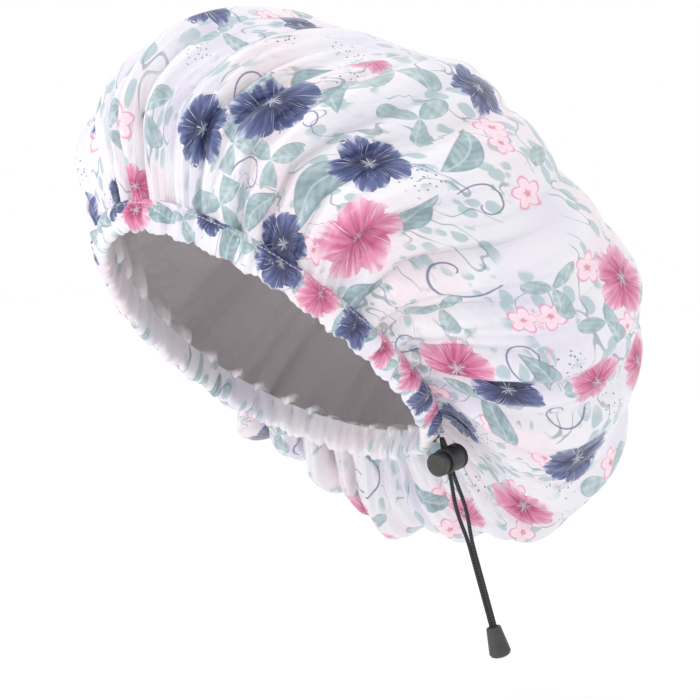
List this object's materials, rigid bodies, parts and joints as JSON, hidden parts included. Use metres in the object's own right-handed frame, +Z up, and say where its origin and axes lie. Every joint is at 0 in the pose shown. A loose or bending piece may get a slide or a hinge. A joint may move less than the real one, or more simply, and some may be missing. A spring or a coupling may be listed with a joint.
{
  "type": "shower cap",
  "caption": "Gathered lined satin shower cap with a drawcord casing round the head opening, a spring cord lock and a bell cord end.",
  "frame": {"origin": "middle of the head opening, the oval that the lower edge of the casing draws round the head", "axes": "+Z up towards the crown on an upright head, -Y towards the wearer's face, +Y towards the back of the crown, +X towards the wearer's left"},
  "size_m": [0.2693, 0.294, 0.3159],
  "materials": {
    "printed_satin": "satin weave with a soft sheen and a floral print",
    "lining_satin": "plain pale lining",
    "casing_satin": "printed satin binding with a pale folded edge",
    "drawcord": "braided elastic cord",
    "lock_plastic": "moulded with a fine matt texture",
    "spring_steel": "drawn wire"
  },
  "bodies": {
    "cap": {"outer_shell": "printed_satin", "lining": "lining_satin", "edge_casing": "casing_satin", "drawcord_loop": "drawcord"},
    "tail": {"cord_strand_left": "drawcord", "cord_strand_right": "drawcord", "cord_knot": "drawcord", "cord_end_bell": "lock_plastic"},
    "cord_lock": {"lock_barrel": "lock_plastic", "lock_spring": "spring_steel"},
    "lock_button": {"lock_plunger": "lock_plastic"}
  },
  "joints": [
    {"name": "tail_swing", "type": "hinge", "parent": "cap", "child": "tail", "pos_m": [0.05074, 0.07017, -0.04521], "axis": [-0.7047, 0.7095, 0], "range_deg": [-14, 20]},
    {"name": "lock_slide", "type": "slide", "parent": "tail", "child": "cord_lock", "axis": [0.1888, 0.1875, -0.964], "range_m": [0, 0.078]},
    {"name": "button_press", "type": "slide", "parent": "cord_lock", "child": "lock_button", "axis": [-0.1002, 0.9802, 0.171], "range_m": [0, 0.003], "stiffness_N_per_m": 800, "deforming": ["lock_spring"]}
  ]
}
